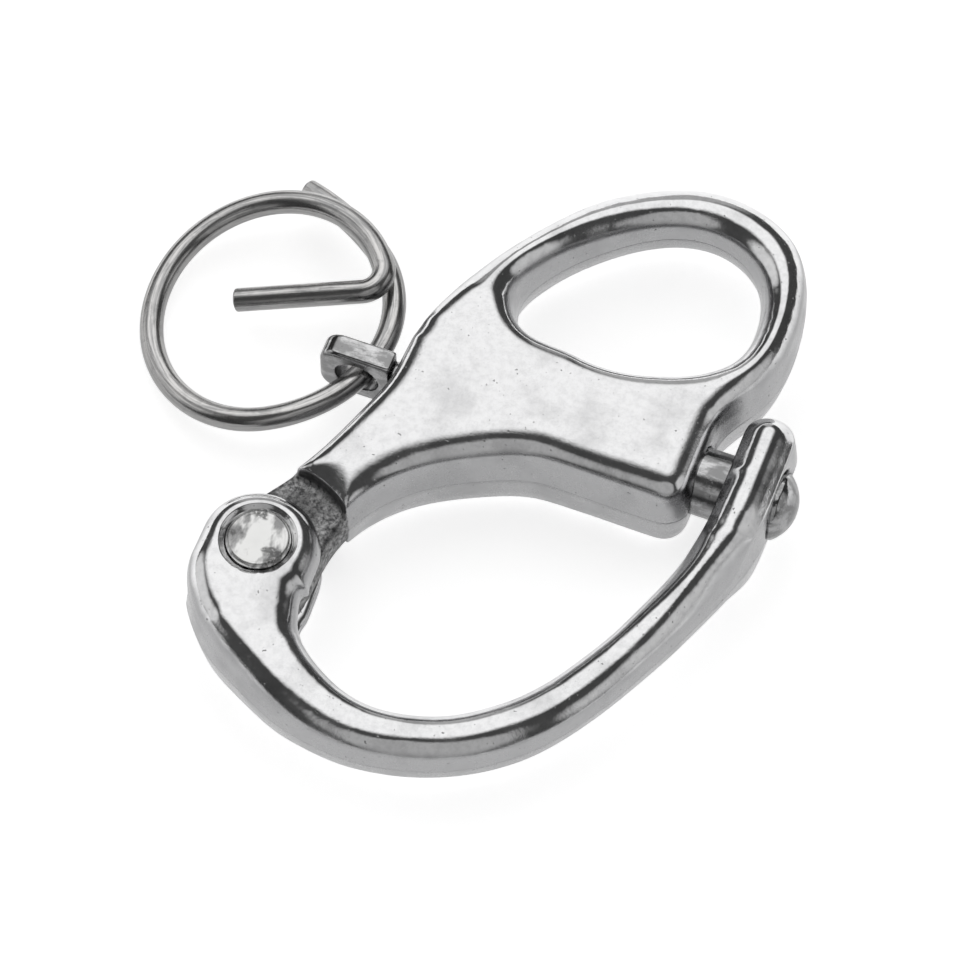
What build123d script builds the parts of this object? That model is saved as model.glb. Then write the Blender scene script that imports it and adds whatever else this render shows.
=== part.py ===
"""Fixed-eye panic snap (snap shackle) in cast stainless steel, all sizes in millimetres.

Frame: +X runs along the plunger towards the latch end, +Y towards the eye, +Z up. The snap lies on one
side: Z = 0 is the surface it rests on. X = 0 is where the load line crosses the plunger's axis.
Each piece is drawn about the parting plane, half the body's thickness up, and lifted when it is written.
"""
from build123d import *
import math
import os

# ---------------------------------------------------------------- driving dimensions
body_thick = 10.6        # barrel, the jaw's fork and its latch end, across both cast halves
draft_lean = 0.6         # how far each cast wall leans in between the parting band and its top
parting_band = 0.2       # upright band left at the parting plane
edge_round = 1.1         # rounding of the cast edges
eye_slope_start = 8.4    # Y where the eye starts to get thinner
eye_slope = 7.5          # slope of each face of the eye, degrees
shoulder_start = -1.0    # Y where the faces start to curve down towards the shoulder
shoulder_radius = 95.0   # radius of that curve

latch_face_x = 13.8      # body's end face on the latch side
barrel_low_y = -5.2      # barrel's edge on the jaw side
barrel_end_x = -14.6     # barrel's end on the ring side
barrel_corner = 2.6

hinge_x = -18.9
hinge_y = -21.0
tongue_thick = 4.0
tongue_radius = 5.0
scallop_radius = 8.2     # hollow in the shoulder that clears the jaw's ears
slot_clear = 0.15        # side clearance of the tongue in the fork
running_clear = 0.05     # radial clearance of each shaft in its bore

pin_radius = 2.8
pin_recess_radius = 3.3
pin_recess_depth = 0.5
pin_proud = 0.35         # peened end above the floor of its recess
pin_edge = 0.3

head_width = 11.2        # across the fork's ears
slot_depth = 5.4         # from the hinge's centre to the bottom of the fork's slot
jaw_gap = 1.7            # between the body's end face and the jaw's latch end
latch_width = 5.3
latch_tip_y = 6.7
latch_hole_clear = 0.25
stem_length = 2.6        # straight part of the stem below the hinge's centre
latch_start_y = -3.2     # where the bow meets the straight latch end

plunger_radius = 3.0
plunger_tip_out = 1.5    # dome's height outside the jaw
plunger_head_back = 3.0  # X of the shoulder that the spring pushes on
rod_radius = 1.6
spring_seat_x = -11.0    # X of the bore's floor
lug_gap = 0.25           # between the barrel's end and the lug's shoulder
lug_length = 6.4
lug_height = 6.2
lug_thick = 2.2
lug_corner = 1.8
lug_edge = 0.4
lug_hole_radius = 2.0
lug_hole_in = 3.45       # from the lug's outer end to its hole's centre

spring_wire = 0.8
spring_turns = 6.5
spring_end_gap = 0.15

ring_wire = 2.1
ring_radius = 10.78      # centre line
ring_seat_in = 0.45      # how far the wire lies from the hole's centre towards the barrel
ring_cross_angle = 342   # where the wire crosses the lug, seen from the ring's centre, degrees
ring_coil_gap = 0.1      # between the two turns where they overlap
ring_join_angle = 34.5     # where the bend of the leg meets the coil
ring_fall_from = 290     # the first turn is level up to this angle
ring_fall_to = 385       # and lies one wire lower from this one
ring_coil_end = 412
ring_leg_length = 11.6
ring_leg_angle = 15      # direction of the leg, degrees from +X
ring_bend_radius = 1.8
ring_tail_end = 458      # angle at which the tail ends
ring_tail_out = 2.4      # how far the tail's end lies outside the coil's centre line
ring_lean = 5.5          # fall of the ring's plane towards -Y, degrees

mid_z = body_thick / 2
jaw_thick = body_thick
hinge = Vector(hinge_x, hinge_y, 0)
jaw_in_x = latch_face_x + jaw_gap
jaw_out_x = jaw_in_x + latch_width
plunger_tip_x = jaw_out_x + plunger_tip_out
lug_root_x = barrel_end_x - lug_gap
lug_end_x = lug_root_x - lug_length
lug_hole_x = lug_end_x + lug_hole_in
ring_cross_x = lug_hole_x + ring_seat_in


def mirrored(upper):
    return upper + mirror(upper, Plane.XY)


def curve_through(points, start_way, end_way):
    """Smooth curve through the points, leaving and arriving in the given directions."""
    return Spline(*points, tangents=[start_way, end_way], tangent_scalars=[1, 1])


def along_x(radius, x_from, x_to):
    """A round bar on the plunger's axis."""
    on_start = (Align.CENTER, Align.CENTER, Align.MIN)
    return Plane.YZ.offset(x_from) * Cylinder(radius, x_to - x_from, align=on_start)


# ---------------------------------------------------------------- body
def body_outline():
    face = Line((latch_face_x, 3.0), (latch_face_x, barrel_low_y + barrel_corner))
    low = Line((latch_face_x - barrel_corner, barrel_low_y), (1.5, barrel_low_y))
    corner = TangentArc(face @ 1, low @ 0, tangent=face % 1)
    inner = curve_through([low @ 1, (-4.1, -6.9), (-9.1, -10.0), (-12.2, -13.6), (-13.6, -17.4),
                           hinge + Vector(tongue_radius, 0)], (-1, 0), (0, -1))
    tip_end = hinge + Vector(tongue_radius, 0).rotate(Axis.Z, 145)
    tip = ThreePointArc(inner @ 1, hinge - Vector(0, tongue_radius), tip_end)
    back = curve_through([tip @ 1, (-19.2, -12.7), (-15.7, -4.7), (barrel_end_x, 0)], tip % 1, (0, 1))
    eye = curve_through([back @ 1, (-12.9, 8.3), (-7.2, 18.5), (-0.7, 24.5), (7.2, 26.7), (14.2, 23.6),
                         (17.1, 15.5), (16.2, 8.6), face @ 0], (0, 1), (0, -1))
    return [face, corner, low, inner, tip, back, eye]


def eye_hole_outline():
    return Spline((0, 6.2), (8.0, 7.2), (12.4, 10.8), (13.1, 15.0), (11.2, 20.2), (7.2, 22.2),
                  (-1.5, 18.5), (-5.6, 13.9), (-6.9, 10.2), (-5.0, 7.0), periodic=True)


def top_rims(solid):
    """Edges round the upward faces, without the creases where two such faces meet."""
    tops = solid.faces().filter_by(lambda f: f.normal_at().Z > 0.9)
    edges = [edge for top in tops for edge in top.edges()]
    return [edge for edge in edges if sum(edge.is_same(other) for other in edges) == 1]


def make_body():
    hole = eye_hole_outline()
    upper = extrude(make_face(body_outline()), mid_z) - extrude(make_face([hole]), mid_z)
    top = upper.faces().sort_by(Axis.Z)[-1]
    upper = chamfer(top.edges(), draft_lean, mid_z - parting_band / 2, reference=top)
    reach = 10 * body_thick
    above = Box(reach, reach, body_thick, align=(Align.CENTER, Align.MIN, Align.MIN))
    upper -= Pos(0, eye_slope_start, mid_z) * Rot(-eye_slope, 0, 0) * above
    below = Pos(0, shoulder_start, mid_z) * Box(reach, reach, body_thick, align=(Align.CENTER, Align.MAX, Align.CENTER))
    curve_axis = Pos(0, shoulder_start, mid_z - shoulder_radius) * Rot(0, 90, 0)
    upper -= below - curve_axis * Cylinder(shoulder_radius, reach)

    def in_hole(edge):
        middle = edge @ 0.5
        return hole.distance_to(Vector(middle.X, middle.Y, 0)) < 2 * draft_lean

    upper = fillet([e for e in top_rims(upper) if not in_hole(e)], edge_round)
    upper = fillet([e for e in top_rims(upper) if in_hole(e)], edge_round)
    upper -= Pos(hinge_x, hinge_y, tongue_thick / 2) * Cylinder(
        scallop_radius, body_thick, align=(Align.CENTER, Align.CENTER, Align.MIN))
    body = mirrored(upper)
    body -= along_x(plunger_radius + running_clear, spring_seat_x, latch_face_x + 1)
    body -= along_x(rod_radius + running_clear, barrel_end_x - 1, spring_seat_x)
    body -= Pos(hinge) * Cylinder(pin_radius + running_clear, body_thick)
    return body


# ---------------------------------------------------------------- jaw
def cast_section(width, thick, corner):
    """Cast bar's section in XY: widest at the parting plane (X), leaning in towards both faces (Y)."""
    half, rise = width / 2, thick / 2
    lean = draft_lean * rise / mid_z
    outline = Polyline((half, 0), (half - lean, rise), (-half + lean, rise), (-half, 0), (-half + lean, -rise),
                       (half - lean, -rise), close=True)
    section = make_face([outline])
    corners = [v for v in section.vertices() if abs(v.Y) > rise / 2]
    return fillet(corners, corner)


latch_mid_x = (jaw_in_x + jaw_out_x) / 2
latch_round_y = latch_tip_y - latch_width / 2    # centre of the latch end's rounding
head_section = (head_width, jaw_thick, 1.2)
latch_section = (latch_width, jaw_thick, 1.5)
bow_sections = (          # share of the bow's path, width, thickness, corner
    (0.0, *head_section),
    (0.035, 9.7, 10.3, 1.2),
    (0.07, 8.4, 9.9, 1.2),
    (0.14, 6.8, 9.0, 1.3),
    (0.28, 5.2, 6.9, 1.5),
    (0.50, 4.7, 6.2, 1.6),
    (0.72, 4.4, 6.0, 1.5),
    (0.86, 4.7, 7.6, 1.5),
    (0.95, 5.1, 9.9, 1.5),
    (1.0, *latch_section))


def bow_path():
    """Middle of the bow, from the straight stem below the hinge to the straight latch end."""
    curve = Bezier((hinge_x, hinge_y - stem_length), (hinge_x, -29.3), (-10.8, -31.8), (7.9, -52.2),
                   (latch_mid_x, -7.0), (latch_mid_x, latch_start_y))
    steps = 6
    return curve_through([curve @ (step / steps) for step in range(steps + 1)], curve % 0, curve % 1)


def place_on(path, share):
    """Section plane square to the path, its X to the path's right and its Y up."""
    along = path % share
    return Plane(origin=path @ share, x_dir=along.cross(Vector(0, 0, 1)), z_dir=along)


def straight_end(face, length):
    """Straight bar from the bow's end face towards +Y, closed by half a turn of its section about a Z axis."""
    bar = extrude(face, length, dir=(0, 1, 0))
    end = bar.faces().sort_by(Axis.Y)[-1]
    middle = face.center() + Vector(0, length, 0)
    half = split(end, Plane(middle, z_dir=(1, 0, 0)), keep=Keep.TOP)
    return bar + revolve(half, Axis(middle, (0, 0, 1)), 180)


def make_jaw():
    path = bow_path()
    bow = loft([place_on(path, share) * cast_section(*size) for share, *size in bow_sections])
    stem_face, latch_face = bow.faces().filter_by(GeomType.PLANE).sort_by(Axis.Y)
    jaw = bow + straight_end(stem_face, stem_length) + straight_end(latch_face, latch_round_y - latch_start_y)

    slot_half = tongue_thick / 2 + slot_clear
    slot = Pos(hinge_x, hinge_y - slot_depth) * Box(
        2 * head_width, 4 * head_width, 2 * slot_half, align=(Align.CENTER, Align.MIN, Align.CENTER))
    jaw -= slot
    jaw -= Pos(hinge) * Cylinder(pin_radius, 2 * jaw_thick)
    for side in (-1, 1):
        jaw -= Pos(hinge_x, hinge_y, side * jaw_thick / 2) * Cylinder(pin_recess_radius, 2 * pin_recess_depth)
    jaw -= along_x(plunger_radius + latch_hole_clear, jaw_in_x - 2, jaw_out_x + 2)
    return jaw


# ---------------------------------------------------------------- hinge pin
def make_hinge_pin():
    half = jaw_thick / 2 - pin_recess_depth + pin_proud
    pin = Cylinder(pin_radius, 2 * half)
    return Pos(hinge) * chamfer(pin.edges().filter_by(GeomType.CIRCLE), pin_edge)


# ---------------------------------------------------------------- plunger
def make_plunger():
    ends = Polyline((plunger_tip_x, 0), (lug_root_x, 0), (lug_root_x, rod_radius), (plunger_head_back, rod_radius),
                    (plunger_head_back, plunger_radius), (jaw_out_x, plunger_radius))
    dome = TangentArc(ends @ 0, ends @ 1, tangent=(0, 1))
    turned = revolve(make_face([ends, dome]), Axis.X)
    lug = Pos(lug_end_x, 0, 0) * Box(lug_length, lug_thick, lug_height,
                                     align=(Align.MIN, Align.CENTER, Align.CENTER))
    lug = fillet(lug.edges().filter_by(Axis.Y).sort_by(Axis.X)[:2], lug_corner)
    rims = [edge for edge in lug.edges() if edge.center().X < lug_root_x - lug_edge and abs(edge.center().Y) > 0]
    lug = fillet(rims, lug_edge)
    lug -= Pos(lug_hole_x, 0, 0) * Rot(90, 0, 0) * Cylinder(lug_hole_radius, 2 * lug_thick)
    return turned + lug


# ---------------------------------------------------------------- spring
def make_spring():
    start = spring_seat_x + spring_end_gap + spring_wire / 2
    length = plunger_head_back - spring_end_gap - spring_wire / 2 - start
    coil_radius = (plunger_radius + running_clear + rod_radius) / 2
    coil = Helix(pitch=length / spring_turns, height=length, radius=coil_radius)
    wire = sweep(Plane(origin=coil @ 0, z_dir=coil % 0) * Circle(spring_wire / 2), path=coil, is_frenet=True)
    return Pos(start, 0, 0) * Rot(0, 90, 0) * wire


# ---------------------------------------------------------------- pull ring
def coil_point(angle, radius=ring_radius):
    """Point of the ring's centre line: level, then falling by one wire between the two fall angles."""
    share = min(max((angle - ring_fall_from) / (ring_fall_to - ring_fall_from), 0), 1)
    fall = (ring_wire + ring_coil_gap) * share * share * (3 - 2 * share)
    return Vector(radius, 0, -fall).rotate(Axis.Z, angle)


def heading(angle):
    """Direction of the wire at an angle of the level coil."""
    return Vector(0, 1, 0).rotate(Axis.Z, angle)


def ring_wire_path():
    """Centre line about the ring's centre: leg, bend, a turn and a bit, and the tail beneath them."""
    bend_centre = Vector(ring_radius - ring_bend_radius, 0, 0).rotate(Axis.Z, ring_join_angle)
    leg_way = Vector(1, 0, 0).rotate(Axis.Z, ring_leg_angle)
    bend_start = bend_centre + Vector(0, -ring_bend_radius, 0).rotate(Axis.Z, ring_leg_angle)
    leg = Line(bend_start - leg_way * ring_leg_length, bend_start)
    bend = TangentArc(bend_start, coil_point(ring_join_angle), tangent=leg_way)
    level = ThreePointArc(bend @ 1, coil_point((ring_join_angle + ring_fall_from) / 2), coil_point(ring_fall_from))
    steps = 6
    fall = curve_through([coil_point(ring_fall_from + (ring_fall_to - ring_fall_from) * step / steps)
                          for step in range(steps + 1)], heading(ring_fall_from), heading(ring_fall_to))
    lower = ThreePointArc(fall @ 1, coil_point((ring_fall_to + ring_coil_end) / 2), coil_point(ring_coil_end))
    tail_end = coil_point(ring_tail_end, ring_radius + ring_tail_out)
    tail = TangentArc(lower @ 1, tail_end, tangent=heading(ring_coil_end))
    return [leg, bend, level, fall, lower, tail]


def rest_droop(points):
    """Smallest turn down towards -X that brings one of the points to the surface the snap lies on."""
    height = mid_z - ring_wire / 2
    reaching = [point for point in points if math.hypot(point.X, point.Z) > height]
    return math.degrees(min(math.asin(height / math.hypot(point.X, point.Z)) + math.atan2(point.Z, -point.X)
                            for point in reaching))


def make_pull_ring():
    path = Wire(ring_wire_path())
    wire = sweep(Plane(origin=path @ 0, z_dir=path % 0) * Circle(ring_wire / 2), path=path)
    cross = coil_point(ring_cross_angle)
    coil = [(coil_point(angle) - cross).rotate(Axis.X, ring_lean)
            for angle in range(math.ceil(ring_join_angle), ring_coil_end)]
    return Pos(ring_cross_x, 0, 0) * Rot(0, -rest_droop(coil), 0) * Rot(ring_lean, 0, 0) * Pos(-cross) * wire


if __name__ == "__main__":
    os.makedirs("parts", exist_ok=True)
    pieces = {
        "body": make_body(),
        "jaw": make_jaw(),
        "hinge_pin": make_hinge_pin(),
        "plunger": make_plunger(),
        "spring": make_spring(),
        "pull_ring": make_pull_ring()}
    for name, piece in pieces.items():
        export_step(Pos(0, 0, mid_z) * piece, f"parts/{name}.step")
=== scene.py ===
import math

import bmesh
import bpy
from mathutils import Matrix, Vector, kdtree, noise


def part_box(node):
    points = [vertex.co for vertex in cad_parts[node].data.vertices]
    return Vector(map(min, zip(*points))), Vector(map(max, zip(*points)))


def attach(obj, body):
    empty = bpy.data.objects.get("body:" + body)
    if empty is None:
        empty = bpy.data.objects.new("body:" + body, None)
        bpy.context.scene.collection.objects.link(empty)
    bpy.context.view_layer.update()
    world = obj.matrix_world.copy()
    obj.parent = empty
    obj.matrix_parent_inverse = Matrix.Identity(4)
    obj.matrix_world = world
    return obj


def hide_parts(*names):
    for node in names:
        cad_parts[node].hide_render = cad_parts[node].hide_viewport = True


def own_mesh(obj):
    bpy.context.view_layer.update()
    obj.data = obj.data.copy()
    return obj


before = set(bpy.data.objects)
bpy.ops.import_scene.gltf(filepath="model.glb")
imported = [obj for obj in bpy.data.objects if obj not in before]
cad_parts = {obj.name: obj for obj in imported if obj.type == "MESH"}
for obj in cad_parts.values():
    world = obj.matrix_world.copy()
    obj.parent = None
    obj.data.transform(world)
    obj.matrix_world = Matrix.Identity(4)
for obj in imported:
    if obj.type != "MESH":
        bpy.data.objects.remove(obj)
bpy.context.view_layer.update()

bl_info = {
    "name": "Panic snap in polished cast steel",
    "version": (1, 0, 0),
    "blender": (4, 5, 0),
    "location": "3D View > Sidebar > Panic snap",
    "description": "Dresses a fixed-eye panic snap: castings, rivet, plunger, spring and ring",
    "category": "Object",
}

MID = (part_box("body")[0].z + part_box("body")[1].z) / 2      # height of the parting plane
PIN_LOW, PIN_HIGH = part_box("hinge_pin")
HINGE = (PIN_LOW + PIN_HIGH) / 2
MM = 0.001

LATCH_X = 18.2 * MM                                # middle of the jaw's latch end, on the plunger's axis
EYE_START, EYE_FULL = 3 * MM, 12 * MM              # where the body's form changes from barrel to eye
EYE_WALLS = 4 * MM                                 # beyond it, the body's walls are the eye's
BORE_START, BORE_END = -14.2 * MM, 13.4 * MM       # stretch of the barrel that the bore opens
BORE_REACH = 3.3 * MM
SEAM_BAND = 0.6 * MM                               # walls this near the parting plane guide the crown
UPPER_BAND = (2.4 * MM, 3.4 * MM)                  # and these, where a bore, slot or hole lies between
FORK_REACH, FORK_HOLE = 8.5 * MM, 3.5 * MM
LATCH_WALLS = -5.5 * MM                            # past it, the jaw's walls are the latch end's

ROOT_Y, ROOT_HALF, ROOT_FILL = -24.9 * MM, 2.5 * MM, 0.65 * MM      # hollow beside the fork's inner edge
ROOT_SPOTS = (                                     # passes, x, y, height off the parting plane, reach
    (70, -13.4 * MM, -22.2 * MM, 1.5 * MM, 3.6 * MM),
    (60, -14.4 * MM, -23.6 * MM, 4.5 * MM, 3.4 * MM))

VIEW_ANGLE = math.radians(7.89)                    # a long lens from about half a metre
VIEW_SHIFT = (6.31 * MM, 4.14 * MM)                # snap's middle, right of and above the frame's origin
FLOOR_HALF = 3.0


# ------------------------------------------------------------------ sizes and colours
class SnapFinish(bpy.types.PropertyGroup):
    face_colour: bpy.props.FloatVectorProperty(
        name="Polished face", description="Colour of the mirror-polished faces", subtype="COLOR",
        size=3, min=0, max=1, default=(0.83, 0.83, 0.835))
    # Painted shade: the side walls' colour is kept darker than the faces' to stand in for the dimmer
    # reflections the walls catch.
    wall_shade_colour: bpy.props.FloatVectorProperty(
        name="Painted wall shade", description="Colour of the side walls, darkened as painted shade", subtype="COLOR",
        size=3, min=0, max=1, default=(0.38, 0.38, 0.385))
    peel_size: bpy.props.FloatProperty(
        name="Peel size", description="Size of the ripples left by polishing a casting",
        unit="LENGTH", default=1.6 * MM)
    peel_depth: bpy.props.FloatProperty(
        name="Peel depth", description="Depth of those ripples", unit="LENGTH",
        default=0.012 * MM, precision=6)
    swell: bpy.props.FloatProperty(
        name="Swell", description="Height of the broad unevenness of the cast faces", unit="LENGTH",
        default=0.11 * MM, precision=6)
    ridge: bpy.props.FloatProperty(
        name="Parting ridge", description="Height of the ridge where the halves of the mould met",
        unit="LENGTH", default=0.05 * MM, precision=6)


class SnapCastings(bpy.types.PropertyGroup):
    body_grain: bpy.props.FloatProperty(
        name="Body mesh", description="Size of the body's surface cells", unit="LENGTH", default=0.215 * MM)
    jaw_grain: bpy.props.FloatProperty(
        name="Jaw mesh", description="Size of the jaw's surface cells", unit="LENGTH", default=0.176 * MM)
    plunger_grain: bpy.props.FloatProperty(
        name="Plunger mesh", description="Size of the plunger's surface cells", unit="LENGTH",
        default=0.11 * MM)
    softening: bpy.props.IntProperty(
        name="Softening", description="Passes that round the cast edges as polishing does", min=0, default=12)


class SnapWires(bpy.types.PropertyGroup):
    ring_wire: bpy.props.FloatProperty(
        name="Ring wire", description="Diameter of the pull ring's wire", unit="LENGTH", default=2.1 * MM)
    ring_radius: bpy.props.FloatProperty(
        name="Ring radius", description="Radius of the pull ring's centre line", unit="LENGTH",
        default=10.78 * MM)
    ring_lean: bpy.props.FloatProperty(
        name="Ring lean", description="Fall of the ring's plane towards the jaw", subtype="ANGLE",
        default=math.radians(5.5))
    spring_wire: bpy.props.FloatProperty(
        name="Spring wire", description="Diameter of the spring's wire", unit="LENGTH", default=0.8 * MM)
    spring_turns: bpy.props.FloatProperty(
        name="Spring turns", description="Turns of the plunger's spring", default=6.5)
    sides: bpy.props.IntProperty(
        name="Sides", description="Sides of each wire's section", min=8, default=40)


class SnapStage(bpy.types.PropertyGroup):
    azimuth: bpy.props.FloatProperty(
        name="Azimuth", description="Camera's turn about the vertical", subtype="ANGLE",
        default=math.radians(20.7))
    elevation: bpy.props.FloatProperty(
        name="Elevation", description="Camera's height above the horizon", subtype="ANGLE",
        default=math.radians(62))
    distance: bpy.props.FloatProperty(
        name="Distance", description="From the camera to the snap", unit="LENGTH", default=0.6)
    sky: bpy.props.FloatProperty(
        name="Soft box", description="Brightness of the large soft box overhead", default=1.06)
    floor_glow: bpy.props.FloatProperty(
        name="Floor glow", description="What the white floor adds of its own where it is seen", default=0.68)


# ------------------------------------------------------------------ meshes
def new_object(name, mesh):
    piece = bpy.data.objects.new(name, mesh)
    bpy.context.scene.collection.objects.link(piece)
    return piece


def applied(piece):
    """Turns the piece with its modifiers into a plain mesh."""
    bpy.context.view_layer.update()
    graph = bpy.context.evaluated_depsgraph_get()
    mesh = bpy.data.meshes.new_from_object(piece.evaluated_get(graph))
    old = piece.data
    piece.modifiers.clear()
    piece.data = mesh
    bpy.data.meshes.remove(old)
    return piece


def casting(node, name, grain, softening):
    """Closed, evenly fine copy of a solid, its edges softened."""
    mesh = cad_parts[node].data.copy()
    shell = bmesh.new()
    shell.from_mesh(mesh)
    bmesh.ops.remove_doubles(shell, verts=shell.verts, dist=0.002 * MM)
    shell.to_mesh(mesh)
    shell.free()
    mesh.materials.clear()
    piece = new_object(name, mesh)
    cells = piece.modifiers.new("cells", "REMESH")
    cells.mode = "VOXEL"
    cells.voxel_size = grain
    cells.use_smooth_shade = True
    return soften(piece, softening)


def soften(piece, passes, about=None, reach=0.0):
    """Evens the surface out, all of it or only about a place."""
    soft = piece.modifiers.new("soft", "SMOOTH")
    soft.factor = 0.5
    soft.iterations = passes
    if about:
        group = piece.vertex_groups.new(name="eased")
        for vertex in piece.data.vertices:
            share = 1 - step((vertex.co - about).length, reach * 0.5, reach)
            if share > 0:
                group.add([vertex.index], share, "REPLACE")
        soft.vertex_group = "eased"
    return applied(piece)


def swell(piece, height, size, seed):
    """Moves the surface in and out a little in broad, soft patches."""
    mesh = piece.data
    shift = Vector((seed, seed * 0.7, seed * 1.3))
    normals = [vertex.normal.copy() for vertex in mesh.vertices]
    places = [vertex.co.copy() for vertex in mesh.vertices]
    moved = []
    for place, normal in zip(places, normals):
        moved.extend(place + normal * height * (noise.noise(place / size + shift) - 0.3))
    mesh.vertices.foreach_set("co", moved)
    mesh.update()


def step(value, low, high):
    """Smooth change from 0 at low to 1 at high."""
    share = min(max((value - low) / (high - low), 0), 1)
    return share * share * (3 - 2 * share)


def crown(piece, reach, form, is_wall):
    """Lets both faces fall away towards the walls. form gives a place's base height and its drop."""
    mesh = piece.data
    places = [vertex.co.copy() for vertex in mesh.vertices]
    walls = [place for place, vertex in zip(places, mesh.vertices)
             if abs(vertex.normal.z) < 0.5 and is_wall(place, abs(place.z - MID))]
    tree = kdtree.KDTree(len(walls))
    for index, place in enumerate(walls):
        tree.insert((place.x, place.y, 0), index)
    tree.balance()
    moved = []
    for place in places:
        rise = abs(place.z - MID)
        base, drop = form(place)
        if rise > base:
            near = tree.find((place.x, place.y, 0))[2]
            away = 1 - min(near / reach, 1)
            rise = base + (rise - base) * (1 - drop * away ** 2)
            place.z = MID + math.copysign(rise, place.z - MID)
        moved.extend(place)
    mesh.vertices.foreach_set("co", moved)
    mesh.update()


def body_form(place):
    """The barrel keeps clear of its bore, and the eye is rounder."""
    eye = step(place.y, EYE_START, EYE_FULL)
    return (2.6 - 1.6 * eye) * MM, 0.42 + 0.13 * eye


def body_wall(place, rise):
    """Walls of the eye at the parting plane, and of the barrel above its bore."""
    if place.y > EYE_WALLS:
        return rise < SEAM_BAND
    in_bore = abs(place.y) < BORE_REACH and BORE_START < place.x < BORE_END
    return UPPER_BAND[0] < rise < UPPER_BAND[1] and not in_bore


def jaw_form(place):
    """Clear of the fork's slot and of the plunger's hole; the latch end is the roundest."""
    at_hinge = 1 - step((place - HINGE).xy.length, 6 * MM, 11 * MM)
    from_latch = math.hypot(place.x - LATCH_X, place.y)
    base = 1.2 + 1.4 * at_hinge + 2.3 * (1 - step(from_latch, 5 * MM, 10 * MM))
    return base * MM, 0.45 + 0.45 * (1 - step(from_latch, 8 * MM, 20 * MM))


def fill_root(piece):
    """Fills the hollow where the fork's inner edge runs into the bow."""
    mesh = piece.data
    moved = []
    for vertex in mesh.vertices:
        place = vertex.co.copy()
        off = (place.y - ROOT_Y) / ROOT_HALF
        if abs(off) < 1:
            inner = step(place.x, -18.5 * MM, -14.6 * MM) * (1 - step(place.x, -11 * MM, -8 * MM))
            place.x += ROOT_FILL * (1 - off * off) ** 2 * inner
        moved.extend(place)
    mesh.vertices.foreach_set("co", moved)
    mesh.update()


def jaw_wall(place, rise):
    """Walls of the bow at the parting plane, and of the two ends beyond their slot and hole."""
    from_hinge = (place - HINGE).xy.length
    if from_hinge < FORK_REACH or place.y > LATCH_WALLS and place.x > 0:
        return UPPER_BAND[0] < rise < UPPER_BAND[1] and from_hinge > FORK_HOLE
    return rise < SEAM_BAND


def smooth(piece):
    for face in piece.data.polygons:
        face.use_smooth = True


def finish_piece(piece, body, nodes, material):
    piece.data.materials.clear()
    piece.data.materials.append(material)
    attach(piece, body)
    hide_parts(*nodes)


# ------------------------------------------------------------------ wire by geometry nodes
def wire_tree():
    """Round wire along an edge path: notes how far along and how far round each point lies."""
    tree = bpy.data.node_groups.new("wire along a path", "GeometryNodeTree")
    face = tree.interface
    face.new_socket("Geometry", in_out="INPUT", socket_type="NodeSocketGeometry")
    face.new_socket("Wire radius", in_out="INPUT", socket_type="NodeSocketFloat")
    face.new_socket("Sides", in_out="INPUT", socket_type="NodeSocketInt")
    face.new_socket("Material", in_out="INPUT", socket_type="NodeSocketMaterial")
    face.new_socket("Geometry", in_out="OUTPUT", socket_type="NodeSocketGeometry")
    make, link = tree.nodes.new, tree.links.new
    entry, out = make("NodeGroupInput"), make("NodeGroupOutput")
    to_curve = make("GeometryNodeMeshToCurve")
    parameter = make("GeometryNodeSplineParameter")
    along = make("GeometryNodeStoreNamedAttribute")
    along.data_type, along.domain = "FLOAT", "POINT"
    along.inputs["Name"].default_value = "along"
    circle = make("GeometryNodeCurvePrimitiveCircle")
    circle.mode = "RADIUS"
    around = make("GeometryNodeStoreNamedAttribute")
    around.data_type, around.domain = "FLOAT", "POINT"
    around.inputs["Name"].default_value = "around"
    sweep = make("GeometryNodeCurveToMesh")
    sweep.inputs["Fill Caps"].default_value = True
    realize = make("GeometryNodeRealizeInstances")
    paint = make("GeometryNodeSetMaterial")
    link(entry.outputs["Geometry"], to_curve.inputs["Mesh"])
    link(to_curve.outputs["Curve"], along.inputs["Geometry"])
    link(parameter.outputs["Length"], along.inputs["Value"])
    link(entry.outputs["Wire radius"], circle.inputs["Radius"])
    link(entry.outputs["Sides"], circle.inputs["Resolution"])
    link(circle.outputs["Curve"], around.inputs["Geometry"])
    link(parameter.outputs["Factor"], around.inputs["Value"])
    link(along.outputs["Geometry"], sweep.inputs["Curve"])
    link(around.outputs["Geometry"], sweep.inputs["Profile Curve"])
    link(sweep.outputs["Mesh"], realize.inputs["Geometry"])
    link(realize.outputs["Geometry"], paint.inputs["Geometry"])
    link(entry.outputs["Material"], paint.inputs["Material"])
    link(paint.outputs["Geometry"], out.inputs["Geometry"])
    return tree


def wire_piece(name, points, radius, sides, material):
    """Wire of a given radius through the points, its cut ends lightly broken."""
    mesh = bpy.data.meshes.new(name)
    mesh.from_pydata(points, [(i, i + 1) for i in range(len(points) - 1)], [])
    piece = new_object(name, mesh)
    tree = bpy.data.node_groups.get("wire along a path") or wire_tree()
    wire = piece.modifiers.new("wire", "NODES")
    wire.node_group = tree
    values = {"Wire radius": radius, "Sides": sides, "Material": material}
    for item in tree.interface.items_tree:
        if item.in_out == "INPUT" and item.name in values:
            wire[item.identifier] = values[item.name]
    applied(piece)
    shell = bmesh.new()
    shell.from_mesh(piece.data)
    bmesh.ops.remove_doubles(shell, verts=shell.verts, dist=0.001 * MM)
    rims = [edge for edge in shell.edges
            if any(len(face.verts) > 4 for face in edge.link_faces)]
    bmesh.ops.bevel(shell, geom=rims, offset=radius * 0.16, segments=3, profile=0.5, affect="EDGES")
    for face in shell.faces:
        face.smooth = len(face.verts) <= 4
    bmesh.ops.recalc_face_normals(shell, faces=shell.faces)
    shell.to_mesh(piece.data)
    shell.free()
    return piece


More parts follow.
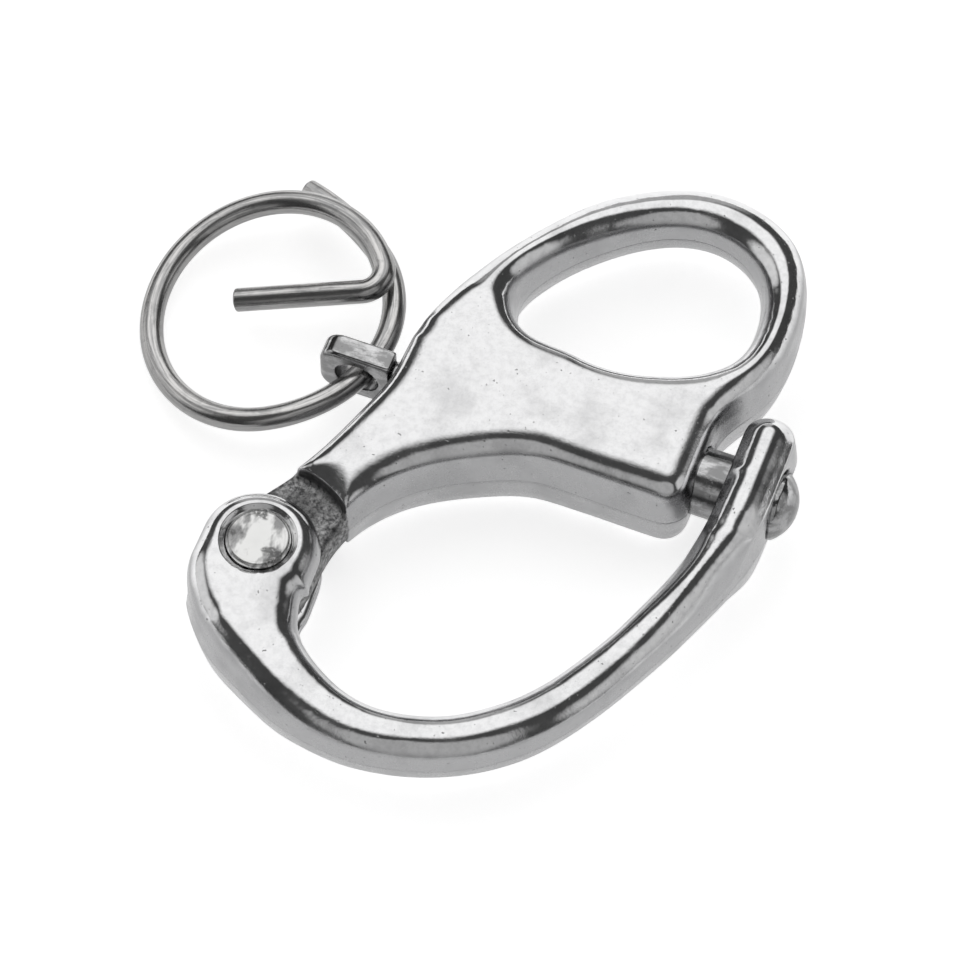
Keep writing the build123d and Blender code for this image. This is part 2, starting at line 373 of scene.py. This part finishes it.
# ------------------------------------------------------------------ ring's path
# Angles are in degrees about the ring's centre.
COIL_GAP = 0.1 * MM
FALL_FROM, FALL_TO, COIL_END = 290, 385, 412
JOIN, LEG_WAY, LEG_LENGTH, BEND_RADIUS = 34.5, 15, 11.6 * MM, 1.8 * MM
TAIL_END, TAIL_OUT = 458, 2.4 * MM
CROSS_ANGLE = 342
CROSS_X = -17.35 * MM


def turned(vector, degrees, axis="Z"):
    return Matrix.Rotation(math.radians(degrees), 3, axis) @ vector


def coil_point(wires, angle, radius):
    share = min(max((angle - FALL_FROM) / (FALL_TO - FALL_FROM), 0), 1)
    fall = (wires.ring_wire + COIL_GAP) * share * share * (3 - 2 * share)
    return turned(Vector((radius, 0, -fall)), angle)


def ring_points(wires):
    """Leg, bend, a turn and a bit, and the tail that runs out beneath them."""
    radius = wires.ring_radius
    centre = turned(Vector((radius - BEND_RADIUS, 0, 0)), JOIN)
    way = turned(Vector((1, 0, 0)), LEG_WAY)
    start = centre + turned(Vector((0, -BEND_RADIUS, 0)), LEG_WAY)
    points = [start - way * LEG_LENGTH * (1 - k / 24) for k in range(24)]
    sweep = JOIN - (LEG_WAY - 90)
    points += [centre + turned(Vector((BEND_RADIUS, 0, 0)), LEG_WAY - 90 + sweep * k / 26) for k in range(26)]
    points += [coil_point(wires, JOIN + (COIL_END - JOIN) * k / 250, radius) for k in range(251)]
    last, way = points[-1], turned(Vector((0, 1, 0)), COIL_END)
    end = coil_point(wires, TAIL_END, radius + TAIL_OUT)
    chord = end - last
    half_turn = way.angle(chord)
    bend = chord.length / (2 * math.sin(half_turn))
    inward = turned(way, 90)
    for k in range(1, 31):
        angle = 2 * half_turn * k / 30
        points.append(last + way * bend * math.sin(angle) + inward * bend * (1 - math.cos(angle)))
    return points


def placed_ring(wires):
    """The ring hung in the lug's hole and dropped until it touches the surface beneath."""
    points = ring_points(wires)
    cross = coil_point(wires, CROSS_ANGLE, wires.ring_radius)
    leaned = [Matrix.Rotation(wires.ring_lean, 3, "X") @ (point - cross) for point in points]
    height = MID - wires.ring_wire / 2
    droop = min(math.asin(height / math.hypot(p.x, p.z)) + math.atan2(p.z, -p.x)
                for p in leaned[50:301] if math.hypot(p.x, p.z) > height)
    turn = Matrix.Rotation(-droop, 3, "Y")
    return [turn @ p + Vector((CROSS_X, 0, MID)) for p in leaned]


# ------------------------------------------------------------------ materials
def sockets(tree, wanted, in_out):
    kinds = {"f": "NodeSocketFloat", "c": "NodeSocketColor", "v": "NodeSocketVector"}
    for name, kind, value in wanted:
        socket = tree.interface.new_socket(name, in_out=in_out, socket_type=kinds[kind])
        if value is not None:
            socket.default_value = value


def calc(tree, kind, *values):
    """Math node: numbers are set, sockets are linked."""
    node = tree.nodes.new("ShaderNodeMath")
    node.operation = kind
    for slot, value in enumerate(values):
        if isinstance(value, (int, float)):
            node.inputs[slot].default_value = value
        else:
            tree.links.new(value, node.inputs[slot])
    return node.outputs[0]


def ramp(tree, value, low, high, low_out=0.0, high_out=1.0):
    node = tree.nodes.new("ShaderNodeMapRange")
    node.interpolation_type = "SMOOTHSTEP"
    node.clamp = True
    for slot, number in enumerate((low, high, low_out, high_out), 1):
        node.inputs[slot].default_value = number
    tree.links.new(value, node.inputs[0])
    return node.outputs[0]


def grain(tree, vector, size, detail=2.0, roughness=0.5, stretch=(1, 1, 1)):
    """Noise whose patches are about as large as size."""
    mapping = tree.nodes.new("ShaderNodeMapping")
    mapping.inputs["Scale"].default_value = stretch
    node = tree.nodes.new("ShaderNodeTexNoise")
    node.inputs["Scale"].default_value = 1 / size
    node.inputs["Detail"].default_value = detail
    node.inputs["Roughness"].default_value = roughness
    tree.links.new(vector, mapping.inputs["Vector"])
    tree.links.new(mapping.outputs[0], node.inputs["Vector"])
    return node.outputs["Fac"]


def blend(tree, factor, first, second):
    node = tree.nodes.new("ShaderNodeMix")
    node.data_type = "RGBA"
    node.clamp_factor = True
    for socket, value in ((node.inputs[0], factor), (node.inputs[6], first), (node.inputs[7], second)):
        if isinstance(value, (int, float)):
            socket.default_value = value
        elif isinstance(value, tuple):
            socket.default_value = (*value, 1)
        else:
            tree.links.new(value, socket)
    return node.outputs[2]


def polish_group(finish):
    """Mirror polish over a casting: ripples, grain, pits, scratches, rougher walls with a parting ridge, and
    painted shade that darkens the walls' colour.
    """
    tree = bpy.data.node_groups.new("polished casting", "ShaderNodeTree")
    sockets(tree, [("Face colour", "c", (*finish.face_colour, 1)),
                   ("Wall shade colour", "c", (*finish.wall_shade_colour, 1)),
                   ("Peel", "f", 1.0), ("Ridge", "f", 1.0)], "INPUT")
    sockets(tree, [("Colour", "c", None), ("Roughness", "f", None), ("Height", "f", None)], "OUTPUT")
    entry, out = tree.nodes.new("NodeGroupInput"), tree.nodes.new("NodeGroupOutput")
    place = tree.nodes.new("ShaderNodeTexCoord")
    where = place.outputs["Object"]
    facing = tree.nodes.new("ShaderNodeSeparateXYZ")
    tree.links.new(place.outputs["Normal"], facing.inputs[0])
    level = calc(tree, "ABSOLUTE", facing.outputs["Z"])
    wander = grain(tree, where, 2.2 * MM, 3)
    wall = ramp(tree, calc(tree, "ADD", level, calc(tree, "MULTIPLY", wander, 0.16)), 0.80, 0.54)

    ripple = grain(tree, where, finish.peel_size, 2, 0.45)
    fine = grain(tree, where, 0.22 * MM, 3, 0.6)
    speck = grain(tree, where, 0.42 * MM, 2, 0.6)
    pits = ramp(tree, speck, 0.305, 0.245)
    worn = ramp(tree, grain(tree, where, 3.4 * MM, 3, 0.55), 0.50, 0.68)
    marks = grain(tree, where, 0.16 * MM, 2, 0.6, (0.06, 1.0, 1.0))
    scratch = ramp(tree, marks, 0.60, 0.70)

    height = calc(tree, "MULTIPLY", ripple, finish.peel_depth / MM)
    height = calc(tree, "MULTIPLY", height, entry.outputs["Peel"])
    rub = calc(tree, "MULTIPLY_ADD", worn, 0.0060, 0.0035)
    height = calc(tree, "ADD", height, calc(tree, "MULTIPLY", fine, rub))
    height = calc(tree, "SUBTRACT", height, calc(tree, "MULTIPLY", pits, 0.012))
    height = calc(tree, "SUBTRACT", height, calc(tree, "MULTIPLY", scratch, 0.0006))
    high = tree.nodes.new("ShaderNodeSeparateXYZ")
    tree.links.new(where, high.inputs[0])
    off = calc(tree, "ABSOLUTE", calc(tree, "SUBTRACT", high.outputs["Z"], MID))
    seam = ramp(tree, off, 0.17 * MM, 0.03 * MM)
    seam = calc(tree, "MULTIPLY", seam, calc(tree, "MULTIPLY", wall, entry.outputs["Ridge"]))
    height = calc(tree, "ADD", height, calc(tree, "MULTIPLY", seam, finish.ridge / MM))
    tree.links.new(height, out.inputs["Height"])

    rough = calc(tree, "MULTIPLY_ADD", wall, 0.17, 0.075)
    rough = calc(tree, "ADD", rough, calc(tree, "MULTIPLY", worn, 0.07))
    rough = calc(tree, "ADD", rough, calc(tree, "MULTIPLY", fine, 0.05))
    tree.links.new(rough, out.inputs["Roughness"])

    # Painted shade: side-facing walls take the darker wall colour in place of the dimmer reflections they
    # catch.
    colour = blend(tree, wall, entry.outputs["Face colour"], entry.outputs["Wall shade colour"])
    smudge = ramp(tree, grain(tree, where, 0.7 * MM, 4, 0.65), 0.35, 0.75)
    colour = blend(tree, calc(tree, "MULTIPLY", smudge, 0.20), colour, (0.30, 0.30, 0.31))
    broad = grain(tree, where, 4.6 * MM, 2, 0.4)
    cloud = ramp(tree, calc(tree, "ADD", broad, calc(tree, "MULTIPLY", fine, 0.10)), 0.54, 0.74)
    colour = blend(tree, calc(tree, "MULTIPLY", cloud, 0.22), colour, (0.20, 0.20, 0.205))
    colour = blend(tree, calc(tree, "MULTIPLY", pits, 0.75), colour, (0.05, 0.05, 0.05))
    tree.links.new(colour, out.inputs["Colour"])
    return tree


def material_base(name):
    material = bpy.data.materials.new(name)
    material.use_nodes = True
    tree = material.node_tree
    shader = tree.nodes["Principled BSDF"]
    shader.inputs["Metallic"].default_value = 1.0
    return material, tree, shader


def bump(tree, height, shader, strength=1.0):
    node = tree.nodes.new("ShaderNodeBump")
    node.inputs["Distance"].default_value = MM
    node.inputs["Strength"].default_value = strength
    tree.links.new(height, node.inputs["Height"])
    tree.links.new(node.outputs[0], shader.inputs["Normal"])


def polished(name, finish, peel=1.0, ridge=1.0, hollow=False, dull=0.0):
    """Cast and polished steel. A hollow leaves the sunk face about the hinge as cast and paints shade on its
    walls; dull adds patches.
    """
    material, tree, shader = material_base(name)
    group = tree.nodes.new("ShaderNodeGroup")
    group.node_tree = bpy.data.node_groups.get("polished casting") or polish_group(finish)
    group.inputs["Peel"].default_value = peel
    group.inputs["Ridge"].default_value = ridge
    colour, rough, height = (group.outputs[key] for key in ("Colour", "Roughness", "Height"))
    where = tree.nodes.new("ShaderNodeTexCoord").outputs["Object"]
    if dull:
        patch = grain(tree, where, 1.1 * MM, 4, 0.65, (0.5, 1.0, 1.0))
        patch = ramp(tree, patch, 0.36, 0.58, 0.25 * dull, dull)
        colour = blend(tree, patch, colour, (0.13, 0.13, 0.13))
    if hollow:
        parts = tree.nodes.new("ShaderNodeSeparateXYZ")
        tree.links.new(where, parts.inputs[0])
        aside = calc(tree, "SUBTRACT", parts.outputs["X"], HINGE.x)
        up = calc(tree, "SUBTRACT", parts.outputs["Y"], HINGE.y)
        far = calc(tree, "SQRT", calc(tree, "ADD", calc(tree, "MULTIPLY", aside, aside),
                                      calc(tree, "MULTIPLY", up, up)))
        ragged = calc(tree, "MULTIPLY", grain(tree, where, 0.5 * MM, 3), 0.3 * MM)
        inside = ramp(tree, calc(tree, "ADD", far, ragged), 8.55 * MM, 8.25 * MM)
        rise = calc(tree, "ABSOLUTE", calc(tree, "SUBTRACT", parts.outputs["Z"], MID))
        inside = calc(tree, "MULTIPLY", inside, ramp(tree, rise, 4.9 * MM, 4.3 * MM))
        flat = ramp(tree, rise, 2.6 * MM, 2.2 * MM)
        sand = grain(tree, where, 0.34 * MM, 4, 0.7)
        blotch = grain(tree, where, 2.4 * MM, 3, 0.6)
        tone = blend(tree, ramp(tree, sand, 0.32, 0.68), (0.07, 0.07, 0.072), (0.46, 0.46, 0.46))
        stain = calc(tree, "MULTIPLY", ramp(tree, blotch, 0.42, 0.6), 0.6)
        tone = blend(tree, stain, tone, (0.05, 0.05, 0.05))
        # Painted shade: the walls of the sunk face about the hinge are pulled nearly black, as shade in the
        # recess.
        shaded_recess_wall = blend(tree, sand, (0.05, 0.05, 0.05), (0.20, 0.20, 0.20))
        tone = blend(tree, flat, shaded_recess_wall, tone)
        colour = blend(tree, inside, colour, tone)
        rough = calc(tree, "ADD", rough, calc(tree, "MULTIPLY", inside, 0.30))
        height = calc(tree, "ADD", height, calc(tree, "MULTIPLY", calc(tree, "MULTIPLY", sand, inside), 0.05))
    tree.links.new(colour, shader.inputs["Base Color"])
    tree.links.new(rough, shader.inputs["Roughness"])
    bump(tree, height, shader)
    return material


def rivet_steel():
    """Dull peened rivet end: grey smears, hammer marks and darker stained patches."""
    material, tree, shader = material_base("peened rivet")
    where = tree.nodes.new("ShaderNodeTexCoord").outputs["Object"]
    smear = grain(tree, where, 2.3 * MM, 4, 0.6, (1.0, 0.5, 1.0))
    patch = grain(tree, where, 3.2 * MM, 3, 0.5)
    sand = grain(tree, where, 0.26 * MM, 4, 0.7)
    colour = blend(tree, ramp(tree, smear, 0.44, 0.56), (0.30, 0.30, 0.30), (0.80, 0.80, 0.79))
    stain = calc(tree, "MULTIPLY", ramp(tree, patch, 0.50, 0.56), ramp(tree, sand, 0.35, 0.52))
    colour = blend(tree, calc(tree, "MULTIPLY", stain, 0.75), colour, (0.10, 0.10, 0.10))
    tree.links.new(colour, shader.inputs["Base Color"])
    rough = calc(tree, "MULTIPLY_ADD", smear, 0.30, 0.14)
    tree.links.new(calc(tree, "ADD", rough, calc(tree, "MULTIPLY", stain, 0.2)), shader.inputs["Roughness"])
    dents = calc(tree, "MULTIPLY", grain(tree, where, 1.1 * MM, 1, 0.4), 0.09)
    height = calc(tree, "ADD", dents, calc(tree, "MULTIPLY", sand, 0.006))
    bump(tree, height, shader)
    return material


def wire_steel(name, bright, dull):
    """Drawn wire: streaks that run along it, from the notes of its length and its round, and painted shade on
    its sides.
    """
    material, tree, shader = material_base(name)
    along, around = (tree.nodes.new("ShaderNodeAttribute") for _ in range(2))
    along.attribute_name, around.attribute_name = "along", "around"
    angle = calc(tree, "MULTIPLY", around.outputs["Fac"], 2 * math.pi)
    joined = tree.nodes.new("ShaderNodeCombineXYZ")
    tree.links.new(calc(tree, "MULTIPLY", calc(tree, "COSINE", angle), MM), joined.inputs[0])
    tree.links.new(calc(tree, "MULTIPLY", calc(tree, "SINE", angle), MM), joined.inputs[1])
    tree.links.new(calc(tree, "MULTIPLY", along.outputs["Fac"], 0.06), joined.inputs[2])
    lines = grain(tree, joined.outputs[0], 0.16 * MM, 3, 0.6)
    broad = grain(tree, joined.outputs[0], 0.55 * MM, 2, 0.5)
    where = tree.nodes.new("ShaderNodeTexCoord").outputs["Object"]
    mottle = grain(tree, where, 0.9 * MM, 3, 0.6)
    tone = ramp(tree, calc(tree, "MULTIPLY_ADD", lines, 0.6, calc(tree, "MULTIPLY", broad, 0.4)), 0.36, 0.62)
    colour = blend(tree, tone, dull, bright)
    stain = calc(tree, "MULTIPLY", ramp(tree, mottle, 0.5, 0.7), 0.25)
    colour = blend(tree, stain, colour, (0.16, 0.16, 0.16))
    # Painted shade: where the wire's surface faces sideways its colour is pulled dark, in place of the bright
    # floor it would reflect there.
    facing = tree.nodes.new("ShaderNodeSeparateXYZ")
    tree.links.new(tree.nodes.new("ShaderNodeTexCoord").outputs["Normal"], facing.inputs[0])
    wire_side_shade = ramp(tree, calc(tree, "ABSOLUTE", facing.outputs["Z"]), 0.95, 0.45)
    colour = blend(tree, calc(tree, "MULTIPLY", wire_side_shade, 0.72), colour, (0.15, 0.15, 0.15))
    tree.links.new(colour, shader.inputs["Base Color"])
    tree.links.new(calc(tree, "MULTIPLY_ADD", tone, -0.08, 0.27), shader.inputs["Roughness"])
    height = calc(tree, "ADD", calc(tree, "MULTIPLY", lines, 0.010), calc(tree, "MULTIPLY", mottle, 0.006))
    bump(tree, height, shader)
    return material


# ------------------------------------------------------------------ operators
class SNAP_OT_body(bpy.types.Operator):
    """Dress the body: barrel, eye and hinge tongue in one polished casting"""
    bl_idname = "snap.body"
    bl_label = "Body casting"

    def execute(self, context):
        scene = context.scene
        sizes = scene.snap_castings
        piece = casting("body", "body_casting", sizes.body_grain, 4)
        crown(piece, 3.2 * MM, body_form, body_wall)
        soften(piece, sizes.softening)
        swell(piece, scene.snap_finish.swell, 7 * MM, 3.0)
        finish_piece(piece, "body", ["body"],
                     polished("polished body", scene.snap_finish, hollow=True))
        return {"FINISHED"}


class SNAP_OT_jaw(bpy.types.Operator):
    """Dress the hinged jaw: fork, bow and latch end in one polished casting"""
    bl_idname = "snap.jaw"
    bl_label = "Jaw casting"

    def execute(self, context):
        scene = context.scene
        sizes = scene.snap_castings
        piece = casting("jaw", "jaw_casting", sizes.jaw_grain, 4)
        fill_root(piece)
        crown(piece, 2.6 * MM, jaw_form, jaw_wall)
        soften(piece, sizes.softening)
        for side in (-1, 1):
            for passes, x, y, height, reach in ROOT_SPOTS:
                soften(piece, passes, Vector((x, y, MID + side * height)), reach)
        swell(piece, scene.snap_finish.swell, 5 * MM, 11.0)
        finish_piece(piece, "jaw", ["jaw"], polished("polished jaw", scene.snap_finish))
        return {"FINISHED"}


class SNAP_OT_rivet(bpy.types.Operator):
    """Make the hinge rivet with its peened ends"""
    bl_idname = "snap.rivet"
    bl_label = "Hinge rivet"

    def execute(self, context):
        radius = (PIN_HIGH.x - PIN_LOW.x) / 2
        half = (PIN_HIGH.z - PIN_LOW.z) / 2
        edge, sunk = 0.42 * MM, 0.05 * MM
        end_rings, edge_steps, side_steps, sides = 18, 8, 30, 128
        profile = [(radius * k / (end_rings + 4), half - sunk) for k in range(1, end_rings + 1)]
        profile += [(radius - edge + edge * math.sin(turn), half - edge + edge * math.cos(turn))
                    for turn in (math.pi / 2 * k / edge_steps for k in range(edge_steps + 1))]
        upper = profile[:]
        profile += [(radius, (half - edge) * (1 - 2 * k / side_steps)) for k in range(1, side_steps)]
        profile += [(r, -z) for r, z in reversed(upper)]
        shell = bmesh.new()
        rings = []
        for r, z in profile:
            rings.append([shell.verts.new(HINGE + turned(Vector((r, 0, z)), 360 * k / sides))
                          for k in range(sides)])
        for lower, upper in zip(rings, rings[1:]):
            for k in range(sides):
                shell.faces.new((lower[k], upper[k], upper[(k + 1) % sides], lower[(k + 1) % sides]))
        for ring, z in ((rings[0], half - sunk), (rings[-1], sunk - half)):
            middle = shell.verts.new(HINGE + Vector((0, 0, z)))
            for k in range(sides):
                shell.faces.new((middle, ring[k], ring[(k + 1) % sides]))
        for vertex in shell.verts:
            spot = vertex.co - HINGE
            if abs(spot.z) > half - edge:
                dent = noise.noise(vertex.co / (1.3 * MM)) * 0.5 - 0.5
                vertex.co.z += math.copysign(0.09 * MM * dent, spot.z)
        bmesh.ops.recalc_face_normals(shell, faces=shell.faces)
        mesh = bpy.data.meshes.new("hinge_rivet")
        shell.to_mesh(mesh)
        shell.free()
        piece = new_object("hinge_rivet", mesh)
        smooth(piece)
        finish_piece(piece, "jaw", ["hinge_pin"], rivet_steel())
        return {"FINISHED"}


class SNAP_OT_plunger(bpy.types.Operator):
    """Dress the turned plunger and its flat lug"""
    bl_idname = "snap.plunger"
    bl_label = "Plunger"

    def execute(self, context):
        scene = context.scene
        piece = casting("plunger", "plunger_turned", scene.snap_castings.plunger_grain, 5)
        finish_piece(piece, "plunger", ["plunger"],
                     polished("polished plunger", scene.snap_finish, peel=0.8, ridge=0.0, dull=0.75))
        return {"FINISHED"}


class SNAP_OT_spring(bpy.types.Operator):
    """Wind the spring that closes the plunger"""
    bl_idname = "snap.spring"
    bl_label = "Plunger spring"

    def execute(self, context):
        wires = context.scene.snap_wires
        low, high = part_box("spring")
        half_wire = wires.spring_wire / 2
        start, length = low.x + half_wire, high.x - low.x - wires.spring_wire
        radius = (high.y - low.y) / 2 - half_wire
        steps = int(wires.spring_turns * 48)
        points = [Vector((start + length * k / steps, 0, MID))
                  + turned(Vector((0, 0, radius)), 360 * wires.spring_turns * k / steps, "X")
                  for k in range(steps + 1)]
        steel = wire_steel("spring steel", (0.62, 0.61, 0.60), (0.36, 0.36, 0.36))
        piece = wire_piece("plunger_spring", points, half_wire, 16, steel)
        finish_piece(piece, "body", ["spring"], steel)
        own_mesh(piece)
        return {"FINISHED"}


class SNAP_OT_ring(bpy.types.Operator):
    """Bend the pull ring from one length of drawn wire"""
    bl_idname = "snap.ring"
    bl_label = "Pull ring"

    def execute(self, context):
        wires = context.scene.snap_wires
        steel = wire_steel("ring steel", (0.70, 0.69, 0.68), (0.38, 0.38, 0.38))
        piece = wire_piece("pull_ring_wire", placed_ring(wires), wires.ring_wire / 2, wires.sides, steel)
        finish_piece(piece, "ring", ["pull_ring"], steel)
        return {"FINISHED"}


class SNAP_OT_stage(bpy.types.Operator):
    """Set the pale floor, the soft light and the camera"""
    bl_idname = "snap.stage"
    bl_label = "Floor, light and camera"

    def execute(self, context):
        scene = context.scene
        stage = scene.snap_stage
        floor_mesh = bpy.data.meshes.new("floor")
        corners = [(x * FLOOR_HALF, y * FLOOR_HALF, 0) for x, y in ((-1, -1), (1, -1), (1, 1), (-1, 1))]
        floor_mesh.from_pydata(corners, [], [(0, 1, 2, 3)])
        floor = new_object("floor", floor_mesh)
        floor.data.materials.append(floor_white(stage.floor_glow))
        sky(scene, stage.sky, stage.azimuth)

        camera_data = bpy.data.cameras.new("camera")
        camera = bpy.data.objects.new("camera", camera_data)
        scene.collection.objects.link(camera)
        turn, tilt = stage.azimuth, stage.elevation
        back = Vector((math.sin(turn) * math.cos(tilt), -math.cos(turn) * math.cos(tilt), math.sin(tilt)))
        right = Vector((math.cos(turn), math.sin(turn), 0))
        up = back.cross(right)
        place = Vector((0, 0, MID)) + back * stage.distance - right * VIEW_SHIFT[0] - up * VIEW_SHIFT[1]
        view = Matrix((right, up, back)).transposed().to_4x4()
        view.translation = place
        camera.matrix_world = view
        camera_data.sensor_width = 36
        camera_data.angle = VIEW_ANGLE
        camera_data.clip_start = 0.01
        scene.camera = camera
        scene.view_settings.view_transform = "Standard"
        return {"FINISHED"}


def floor_white(glow):
    """Matt white floor that keeps a faint shadow and shows as white in the steel."""
    material = bpy.data.materials.new("white floor")
    material.use_nodes = True
    tree = material.node_tree
    tree.nodes.clear()
    matt = tree.nodes.new("ShaderNodeBsdfDiffuse")
    matt.inputs["Color"].default_value = (0.86, 0.86, 0.86, 1)
    light = tree.nodes.new("ShaderNodeEmission")
    path = tree.nodes.new("ShaderNodeLightPath")
    seen = calc(tree, "MAXIMUM", path.outputs["Is Camera Ray"], path.outputs["Is Glossy Ray"])
    seen = calc(tree, "MAXIMUM", seen, path.outputs["Is Transmission Ray"])
    tree.links.new(calc(tree, "MULTIPLY", seen, glow), light.inputs["Strength"])
    both = tree.nodes.new("ShaderNodeAddShader")
    out = tree.nodes.new("ShaderNodeOutputMaterial")
    tree.links.new(matt.outputs[0], both.inputs[0])
    tree.links.new(light.outputs[0], both.inputs[1])
    tree.links.new(both.outputs[0], out.inputs["Surface"])
    return material


def sky(scene, strength, azimuth):
    """World of one great soft box overhead, four lower cards round the snap, and dark between."""
    world = bpy.data.worlds.new("soft boxes")
    scene.world = world
    world.use_nodes = True
    tree = world.node_tree
    shine = tree.nodes["Background"]
    shine.inputs["Color"].default_value = (1, 1, 1, 1)
    way = tree.nodes.new("ShaderNodeTexCoord").outputs["Generated"]
    far = Vector((-math.sin(azimuth), math.cos(azimuth), 0))
    side = Vector((math.cos(azimuth), math.sin(azimuth), 0))

    def card(axis, edge, soft, level):
        dot = tree.nodes.new("ShaderNodeVectorMath")
        dot.operation = "DOT_PRODUCT"
        dot.inputs[1].default_value = axis.normalized()
        tree.links.new(way, dot.inputs[0])
        return calc(tree, "MULTIPLY", ramp(tree, dot.outputs["Value"], math.cos(math.radians(edge + soft)),
                                           math.cos(math.radians(edge - soft))), level)

    lit = card(far * 0.5 + Vector((0, 0, 0.87)), 37, 8, strength)
    lit = calc(tree, "MAXIMUM", lit, card(far + Vector((0, 0, 0.08)), 17, 4, 0.42))
    lit = calc(tree, "MAXIMUM", lit, card(-side + far * 0.2 + Vector((0, 0, 0.35)), 24, 7, 0.75))
    lit = calc(tree, "MAXIMUM", lit, card(side - far * 0.3 + Vector((0, 0, 0.32)), 22, 7, 0.6))
    lit = calc(tree, "MAXIMUM", lit, card(-far + Vector((0, 0, 0.60)), 32, 5, 0.42))
    lit = calc(tree, "MAXIMUM", lit, 0.06)
    tree.links.new(lit, shine.inputs["Strength"])


class SNAP_PT_panel(bpy.types.Panel):
    """Lists the pieces of the snap"""
    bl_idname = "SNAP_PT_panel"
    bl_label = "Panic snap"
    bl_space_type = "VIEW_3D"
    bl_region_type = "UI"
    bl_category = "Panic snap"

    def draw(self, context):
        for owner in ("snap_finish", "snap_castings", "snap_wires", "snap_stage"):
            group = getattr(context.scene, owner)
            for key in group.__annotations__:
                self.layout.prop(group, key)
        for operator in OPERATORS:
            self.layout.operator(operator.bl_idname)


OPERATORS = (SNAP_OT_body, SNAP_OT_jaw, SNAP_OT_rivet, SNAP_OT_plunger, SNAP_OT_spring, SNAP_OT_ring,
             SNAP_OT_stage)
GROUPS = {"snap_finish": SnapFinish, "snap_castings": SnapCastings, "snap_wires": SnapWires,
          "snap_stage": SnapStage}


def register():
    for cls in (*GROUPS.values(), *OPERATORS, SNAP_PT_panel):
        bpy.utils.register_class(cls)
    for name, group in GROUPS.items():
        setattr(bpy.types.Scene, name, bpy.props.PointerProperty(type=group))


def unregister():
    for name in GROUPS:
        delattr(bpy.types.Scene, name)
    for cls in (SNAP_PT_panel, *reversed(OPERATORS), *GROUPS.values()):
        bpy.utils.unregister_class(cls)


def main():
    register()
    bpy.ops.snap.body()
    bpy.ops.snap.jaw()
    bpy.ops.snap.rivet()
    bpy.ops.snap.plunger()
    bpy.ops.snap.spring()
    bpy.ops.snap.ring()
    bpy.ops.snap.stage()


if __name__ == "__main__":
    main()
